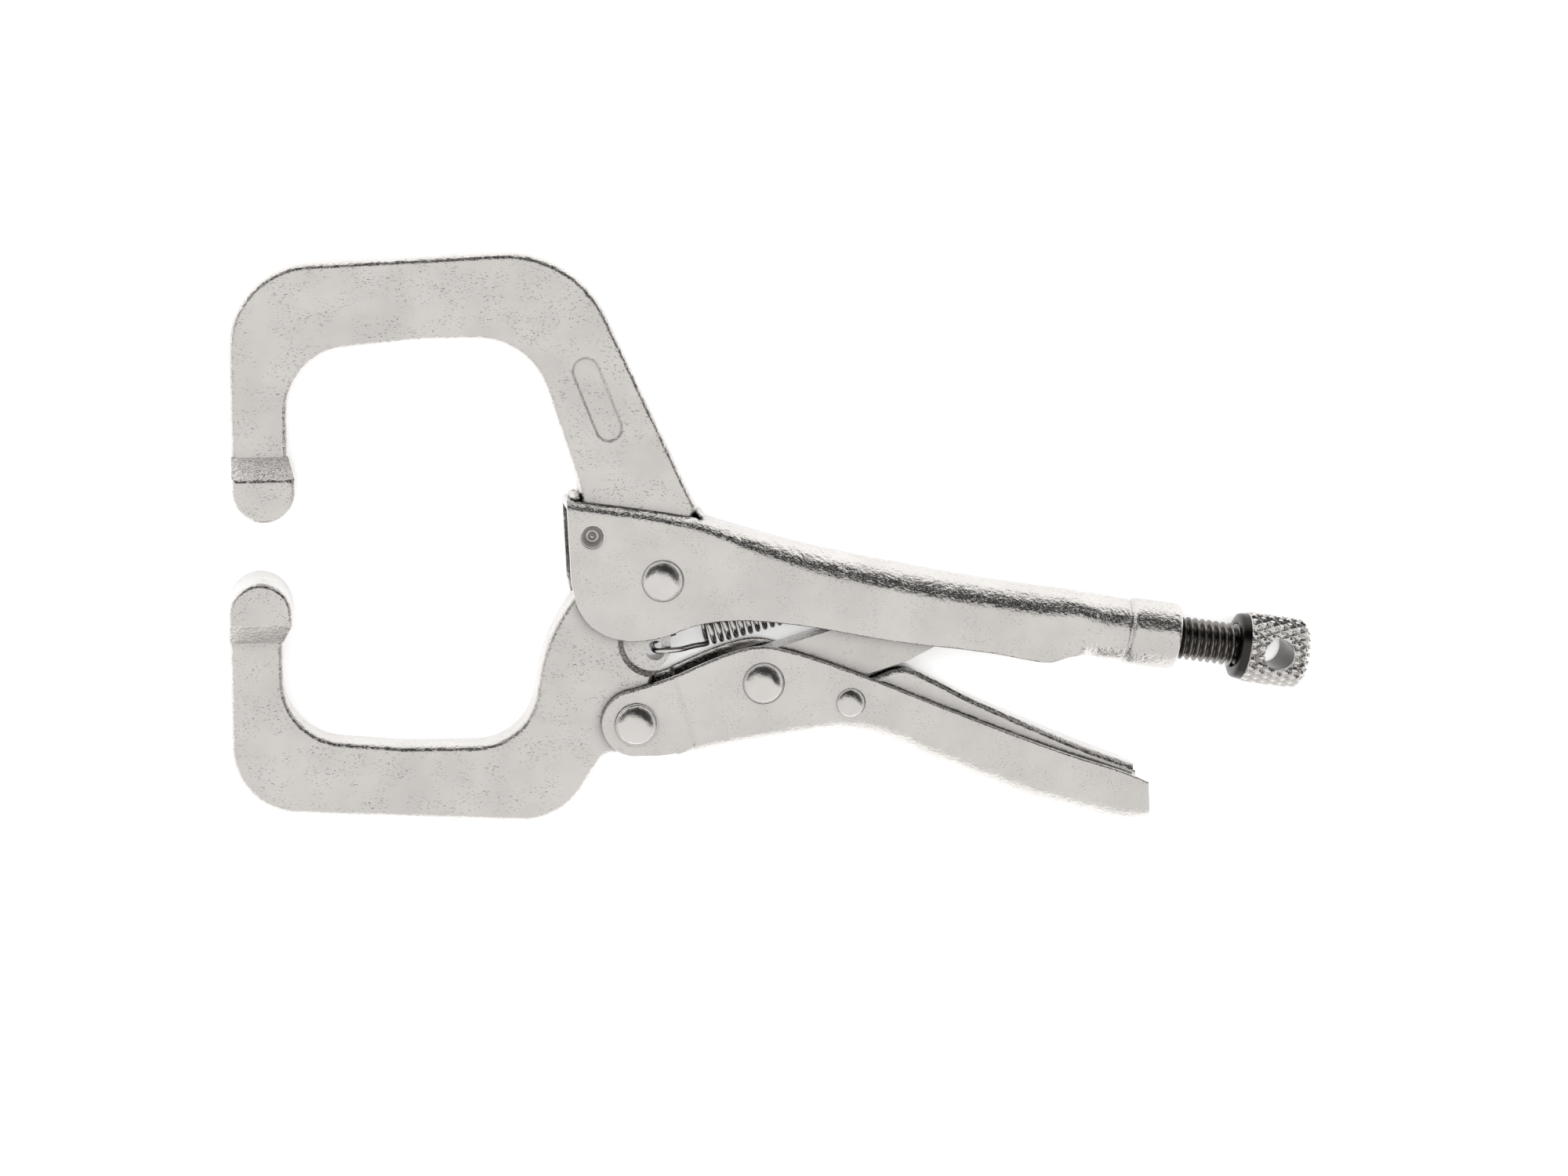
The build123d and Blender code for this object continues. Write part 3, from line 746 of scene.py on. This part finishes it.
# ---------------------------------------------------------------- wire
def wire_object(name, points, radius, sides=10):
    """Round wire along a list of points of the frame, with closed ends."""
    rows = []
    side = (points[1] - points[0]).orthogonal().normalized()
    for i, point in enumerate(points):
        along = (points[min(i + 1, len(points) - 1)] - points[max(i - 1, 0)]).normalized()
        side = (side - along * side.dot(along)).normalized()
        other = along.cross(side)
        turns = [2 * math.pi * k / sides for k in range(sides)]
        rows.append([point + (side * math.cos(a) + other * math.sin(a)) * radius * MM for a in turns])
    obj = grid_object(name, rows, around=True, ends=True)
    outward(obj)
    shade(obj, 60)
    return obj


def rounded_path(corners, steps=10):
    """Smooth 3-D path through corner points."""
    points = []
    for i in range(len(corners) - 1):
        p0 = corners[max(i - 1, 0)]
        p1, p2 = corners[i], corners[i + 1]
        p3 = corners[min(i + 2, len(corners) - 1)]
        for k in range(steps):
            t = k / steps
            points.append(
                0.5 * (
                    2 * p1 + (p2 - p0) * t + (2 * p0 - 5 * p1 + 4 * p2 - p3) * t ** 2
                    + (3 * p1 - p0 - 3 * p2 + p3) * t ** 3
                )
            )
    points.append(corners[-1])
    return points


# ---------------------------------------------------------------- return spring
COIL_START = (6.0, -7.4)
COIL_LENGTH = 18.2
COIL_TURN = math.radians(14.4)
COIL_RADIUS = 2.12
WIRE_RADIUS = 0.37
COIL_TURNS = 17
STEPS_PER_TURN = 28
HOOK_STEPS = 7
LEAD_OUT = 0.35                            # a hook leaves the coil this far along its axis
LEAD_ASIDE = 0.12                          # and this far towards +Z or -Z


def make_spring():
    start = at(*COIL_START)
    along = Vector((math.cos(COIL_TURN), math.sin(COIL_TURN), 0))
    up = Vector((-along.y, along.x, 0))
    # from the lower side of the coil at the jaw's end to its upper side at the handle's end
    steps = int((COIL_TURNS + 0.5) * STEPS_PER_TURN)
    coil = []
    for i in range(steps + 1):
        turn = math.pi + 2 * math.pi * (COIL_TURNS + 0.5) * i / steps
        radial = up * math.cos(turn) + ACROSS * math.sin(turn)
        coil.append(start + along * COIL_LENGTH * MM * i / steps + radial * COIL_RADIUS * MM)
    front = rounded_path([
        at(2.5, -8.35, -2.75), at(1.5, -8.7, -2.85), at(0.0, -9.35, -2.85), at(-0.85, -9.75, -2.0),
        at(-0.95, -9.9, 0.0), at(-0.8, -9.95, 2.1), at(0.1, -9.9, 2.85), at(2.4, -9.75, 2.8),
        at(4.6, -9.55, 1.3), coil[0] + along * -LEAD_OUT * MM + ACROSS * LEAD_ASIDE * MM,
    ], HOOK_STEPS)
    rear = rounded_path([
        coil[-1] + along * LEAD_OUT * MM - ACROSS * LEAD_ASIDE * MM,
        at(25.2, -1.25, 0.1), at(27.4, -1.8, 0.0), at(28.9, -2.1, 0.0), at(29.6, -2.9, 0.0),
        at(29.0, -3.8, 0.0), at(27.6, -3.95, 0.0),
    ], HOOK_STEPS)
    spring = wire_object("coil_spring", front + coil + rear, WIRE_RADIUS)
    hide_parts("return_spring")
    spring.data.materials.append(materials["spring_steel"])
    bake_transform(spring)


# ---------------------------------------------------------------- adjusting screw and knob
SCREW_TIP = -30.8
SCREW_END = 6.6
THREAD_PITCH = 1.0
THREAD_CREST = 3.0
THREAD_ROOT = 2.42
FLANK_SLOPE = 2.6                          # steepness of a thread's flank, in depths for each pitch
FLANK_FLOOR = 0.15                         # the part of its rise, in depths, that the root's flat cuts off
TIP_RADIUS = 1.7
TIP_CHAMFER = 1.6
SCREW_X = ((SCREW_MIDDLE - MAIN_PIVOT).x / MM) - CROSS_HOLE_AT * SCREW_AXIS.x


def make_screw():
    sides = 44
    rows = []
    distance = SCREW_TIP
    while distance < SCREW_END:
        lead_in = TIP_RADIUS + (THREAD_CREST - TIP_RADIUS) * smooth(0.0, TIP_CHAMFER, distance - SCREW_TIP)
        row = []
        for k in range(sides):
            turn = 2 * math.pi * k / sides
            phase = (distance / THREAD_PITCH - k / sides) % 1.0
            flank = min(1.0, max(0.0, FLANK_SLOPE * (0.5 - abs(phase - 0.5)) - FLANK_FLOOR))
            radius = THREAD_ROOT + (THREAD_CREST - THREAD_ROOT) * flank
            row.append(on_screw(distance, min(radius, lead_in), turn))
        rows.append(row)
        distance += 0.1
    screw = grid_object("threaded_rod", rows, around=True, ends=True)
    outward(screw)
    shade(screw, 40)
    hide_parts("adjusting_screw")
    paint(screw, "screw_steel", "adjusting_screw")


KNOB_FACE = 4.4
KNOB_END = 14.9
KNURL_STARTS = 24
KNURL_LEAD = 1.25                 # length along the knob in which one ridge crosses to the next
KNURL_DEPTH = 0.42
KNURL_STEP = 0.14
KNURL_RISES = (5.75, 6.0)
KNURL_FADES = (13.8, 14.7)
GROOVE_SHARE = 0.62                        # share of a knurl's pitch that its groove takes
KNOB_OUTLINE = (
    (KNOB_FACE, 3.35), (4.42, 4.0), (4.65, 4.45), (5.4, 4.62), (5.75, 4.64), (5.9, 4.88), (13.0, 4.88),
    (13.9, 4.6), (14.55, 3.9), (14.88, 2.9),
)


def ridge(value):
    """Triangle wave between 0 and 1."""
    value = value % 1.0
    return 1 - abs(2 * value - 1)


def make_knob():
    sides = 192
    stations = [KNOB_FACE, 4.45, 4.6, 4.9, 5.3, 5.7, 5.78, 5.86]
    while stations[-1] < KNURL_FADES[1]:
        stations.append(stations[-1] + KNURL_STEP)
    stations.append(KNOB_OUTLINE[-1][0])
    rows = []
    for distance in stations:
        outer = through(KNOB_OUTLINE, distance)
        cover = smooth(*KNURL_RISES, distance) * (1 - smooth(*KNURL_FADES, distance))
        row = []
        for k in range(sides):
            turn = 2 * math.pi * k / sides
            first = ridge(KNURL_STARTS * k / sides + distance / (2 * KNURL_LEAD))
            second = ridge(KNURL_STARTS * k / sides - distance / (2 * KNURL_LEAD))
            groove = max(0.0, GROOVE_SHARE - min(first, second)) / GROOVE_SHARE
            row.append(on_screw(distance, outer - KNURL_DEPTH * cover * groove, turn))
        rows.append(row)
    # domed end
    for radius, distance in ((2.2, 14.89), (1.2, KNOB_END), (0.3, KNOB_END)):
        rows.append([on_screw(distance, radius, 2 * math.pi * k / sides) for k in range(sides)])
    # back into the bore for the rod
    bore_rows = [
        [on_screw(distance, radius, 2 * math.pi * k / sides) for k in range(sides)]
        for distance, radius in ((6.9, 0.4), (6.9, 3.06), (4.55, 3.06), (KNOB_FACE, 3.2))
    ]
    knob = grid_object("knurled_knob", bore_rows + rows, around=True, ends=True)
    outward(knob)
    reach = ACROSS * REACH_ACROSS * MM
    cut(knob, rod("cross_hole", SCREW_MIDDLE - reach, SCREW_MIDDLE + reach, CROSS_HOLE_RADIUS, 48))
    shade(knob, 28)
    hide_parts("screw_knob")
    paint(knob, "knob_nickel", "screw_knob")


# ---------------------------------------------------------------- rivets and staked pin
def turned_object(name, x, y, outline, sides=64):
    """A solid of revolution across the tool, from (radius, height) points given for its upper half."""
    whole = [(radius, -height) for radius, height in outline] + outline[::-1]
    turns = [2 * math.pi * k / sides for k in range(sides)]
    rows = [
        [at(x + radius * math.cos(a), y + radius * math.sin(a), height) for a in turns]
        for radius, height in whole
    ]
    obj = grid_object(name, rows, around=True, ends=True)
    outward(obj)
    return obj


SHOULDER_SHARE = 0.86                      # share of a head's radius that is plain dome
CURL_SHARE = 0.95                          # the rim's arc, as a share of one that just reaches full width
RIM_LEAN = math.radians(88)
DOME_STEPS = 14
RIM_STEPS = 8


def make_rivet(name, node, body, place, shank, head, height):
    """Solid rivet whose domed heads curl in at the rim."""
    dome = (head ** 2 + height ** 2) / (2 * height)
    shoulder = SHOULDER_SHARE * head
    tilt = math.asin(shoulder / dome)
    curl = (head - shoulder) / (1.0 - math.sin(tilt)) * CURL_SHARE
    outline = []
    for k in range(DOME_STEPS + 1):
        radius = max(0.05, shoulder * k / DOME_STEPS)
        outline.append((radius, HALF_WIDTH + height - dome + math.sqrt(dome ** 2 - radius ** 2)))
    shoulder_height = outline[-1][1]
    for k in range(1, RIM_STEPS + 1):
        lean = tilt + (RIM_LEAN - tilt) * k / RIM_STEPS
        radius = shoulder + curl * (math.sin(lean) - math.sin(tilt))
        drop = curl * (math.cos(tilt) - math.cos(lean))
        outline.append((radius, max(HALF_WIDTH, shoulder_height - drop)))
    outline += [(shank, HALF_WIDTH - 0.02), (shank, 0.02)]
    rivet = turned_object(name, *place, outline)
    shade(rivet, 50)
    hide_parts(node)
    paint(rivet, "rivet_steel", body)


PIN_STEPS = 28
CUP_RIM = 1.79                             # outer radius of the cup that the punch leaves in the pin
CUP_DEPTH = 1.05
CUP_CENTRE = 0.42                          # height of the raised centre of the cup


def make_pin():
    """Staked pin: each end is punched into a cup, with a small raised centre."""
    face = HALF_WIDTH - 0.05
    outline = []
    for k in range(PIN_STEPS + 1):
        radius = max(0.04, CUP_RIM * k / PIN_STEPS)
        cup = 1 - smooth(0.75, 1.7, radius)
        centre = 1 - smooth(0.0, 0.7, radius)
        outline.append((radius, face - CUP_DEPTH * cup + CUP_CENTRE * centre))
    outline.append((PIN_RADIUS, 0.02))
    pin = turned_object("staked_pin", *PIN_PLACE, outline)
    shade(pin, 50)
    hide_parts("jaw_pin")
    paint(pin, "rivet_steel", "fixed_handle")


# ---------------------------------------------------------------- weld
WELD_HALF_LENGTH = 3.5
WELD_LUMPS = 0.45                          # how far lumps and ripples swell a bead, in its own radius
WELD_RIPPLE = 0.06
WELD_HEIGHT = 0.8                          # height of a bead against its width


def make_weld(name, node, x, y, radius, lean):
    """Lumpy bead of weld across the back, at one end of the jaw's slot."""
    rows = []
    steps = 26
    sides = 20
    for i in range(steps + 1):
        t = 2 * i / steps - 1
        swell = math.sqrt(max(0.0, 1 - abs(t) ** 3.0)) + 0.02
        row = []
        for k in range(sides):
            turn = 2 * math.pi * k / sides
            lump = noise.noise(Vector((math.cos(turn) * 0.9, math.sin(turn) * 0.9, t * 3.1 + x)))
            ripple = WELD_RIPPLE * math.sin(t * 22)
            size = radius * swell * (1 + WELD_LUMPS * lump + ripple)
            bead_x = x + lean * t * t + math.cos(turn) * size
            bead_y = y + math.sin(turn) * size * WELD_HEIGHT
            row.append(at(bead_x, bead_y, t * WELD_HALF_LENGTH))
        rows.append(row)
    bead = grid_object(name, rows, around=True, ends=True)
    outward(bead)
    shade(bead, 80)
    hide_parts(node)
    paint(bead, "weld_steel", "fixed_handle")


paint_cad_nodes()
make_fixed_handle()
make_lower_handle()
make_release_lever()
make_spring()
make_screw()
make_knob()
make_pin()
# shank radius, head radius and head height of the two sizes of rivet
LARGE_RIVET = (2.0, 2.9, 1.25)
SMALL_RIVET = (1.4, 2.05, 0.9)
for rivet_node, rivet_body, rivet_place, rivet_size in (
    ("jaw_pivot_rivet", "fixed_handle", (0.0, 0.0), LARGE_RIVET),
    ("handle_pivot_rivet", "lower_handle", EAR_CENTRE, LARGE_RIVET),
    ("link_pivot_rivet", "lower_handle", LINK_PLACE, LARGE_RIVET),
    ("lever_pivot_rivet", "lower_handle", LEVER_PLACE, SMALL_RIVET),
):
    make_rivet(rivet_node.replace("_pivot", "_domed"), rivet_node, rivet_body, rivet_place, *rivet_size)
make_weld("front_bead", "front_weld_bead", -11.45, 11.25, 0.75, -0.1)
make_weld("rear_bead", "rear_weld_bead", 5.35, 8.55, 0.62, 0.1)


# ---------------------------------------------------------------- floor, light and camera
FLOOR_HALF = 3                             # metres
FLOOR_GLOW = 0.35


def make_stage():
    """A pale floor with a faint glow of its own, like a light table."""
    corners = [(x * FLOOR_HALF, y * FLOOR_HALF, 0) for x, y in ((-1, -1), (1, -1), (1, 1), (-1, 1))]
    floor = new_object("floor", corners, [(0, 1, 2, 3)])
    n = Nodes("pale_floor")
    n.surface.inputs["Base Color"].default_value = (0.92, 0.92, 0.92, 1)
    n.surface.inputs["Roughness"].default_value = 0.9
    n.surface.inputs["Emission Color"].default_value = (1, 1, 1, 1)
    n.surface.inputs["Emission Strength"].default_value = FLOOR_GLOW
    floor.data.materials.append(n.material)


GAP_TOWARDS = (0.20, 0.85, 0.0)
GAP_AT_ENDS = 0.5                          # how much a direction along X counts towards the gap
GAP_EDGE = (0.16, 0.62)                    # the light fades into the gap between these
HORIZON_RISE = (0.05, 0.58)                # the glow over the horizon fades out between these heights
HORIZON_GLOW = 0.9
SKY_DARK = 0.045
SKY_LIGHT = 0.96


def make_world():
    """Soft studio surroundings: light all round, with a dark gap behind the tool."""
    world = bpy.data.worlds.new("studio")
    bpy.context.scene.world = world
    world.use_nodes = True
    tree = world.node_tree
    background = tree.nodes["Background"]
    direction = tree.nodes.new("ShaderNodeTexCoord").outputs["Generated"]
    split = tree.nodes.new("ShaderNodeSeparateXYZ")
    tree.links.new(direction, split.inputs["Vector"])

    def blend_range(value, low, high, to_low, to_high):
        node = tree.nodes.new("ShaderNodeMapRange")
        node.interpolation_type = "SMOOTHSTEP"
        tree.links.new(value, node.inputs["Value"])
        node.inputs["From Min"].default_value = low
        node.inputs["From Max"].default_value = high
        node.inputs["To Min"].default_value = to_low
        node.inputs["To Max"].default_value = to_high
        return node.outputs["Result"]

    def combine(first, second, operation):
        node = tree.nodes.new("ShaderNodeMath")
        node.operation = operation
        tree.links.new(first, node.inputs[0])
        tree.links.new(second, node.inputs[1])
        return node.outputs[0]

    def vector_step(operation, value, weights):
        node = tree.nodes.new("ShaderNodeVectorMath")
        node.operation = operation
        tree.links.new(value, node.inputs[0])
        if weights:
            node.inputs[1].default_value = weights
        return node.outputs["Value" if operation in ("DOT_PRODUCT", "LENGTH") else "Vector"]

    # a dark gap stands behind the tool, towards +Y, and reaches round both its ends
    ends = vector_step("MULTIPLY", direction, (1, 0, 0))
    squared = combine(vector_step("LENGTH", ends, None), vector_step("LENGTH", ends, None), "MULTIPLY")
    sideways = vector_step("DOT_PRODUCT", direction, GAP_TOWARDS)
    towards_gap = combine(sideways, blend_range(squared, 0.0, 1.0, 0.0, GAP_AT_ENDS), "ADD")
    behind = blend_range(towards_gap, *GAP_EDGE, 1.0, 0.0)
    horizon = blend_range(split.outputs["Z"], *HORIZON_RISE, HORIZON_GLOW, 0.0)
    bright = combine(horizon, behind, "MAXIMUM")
    level = blend_range(bright, 0.0, 1.0, SKY_DARK, SKY_LIGHT)
    tree.links.new(level, background.inputs["Strength"])
    background.inputs["Color"].default_value = (1.0, 0.99, 0.98, 1)


def make_light():
    """A broad soft sun from above, which the bright metal doesn't mirror."""
    lamp = bpy.data.lights.new("key", "SUN")
    lamp.energy = 1.7
    lamp.angle = math.radians(40)
    obj = bpy.data.objects.new("key", lamp)
    bpy.context.scene.collection.objects.link(obj)
    obj.rotation_euler = (math.radians(-14), math.radians(-8), 0)
    obj.visible_glossy = False


CAMERA_TILT = math.radians(8.75)       # towards the top of the picture
CAMERA_TURN = math.radians(7.75)       # towards the jaws
CAMERA_DISTANCE = 527.0
LOOKED_AT = (17.18, -2.03)
LENS = 88.2
SENSOR = 36


def make_camera():
    towards = Vector((
        -math.sin(CAMERA_TURN) * math.cos(CAMERA_TILT),
        math.sin(CAMERA_TILT),
        math.cos(CAMERA_TURN) * math.cos(CAMERA_TILT),
    ))
    right = Vector((0, 1, 0)).cross(towards).normalized()
    up = towards.cross(right)
    data = bpy.data.cameras.new("camera")
    data.sensor_width = SENSOR
    data.lens = LENS
    data.clip_start = 0.01
    camera = bpy.data.objects.new("camera", data)
    bpy.context.scene.collection.objects.link(camera)
    place = at(*LOOKED_AT) + towards * CAMERA_DISTANCE * MM
    camera.matrix_world = Matrix.Translation(place) @ Matrix((right, up, towards)).transposed().to_4x4()
    bpy.context.scene.camera = camera


make_stage()
make_world()
make_light()
make_camera()
bpy.context.scene.view_settings.view_transform = "Standard"
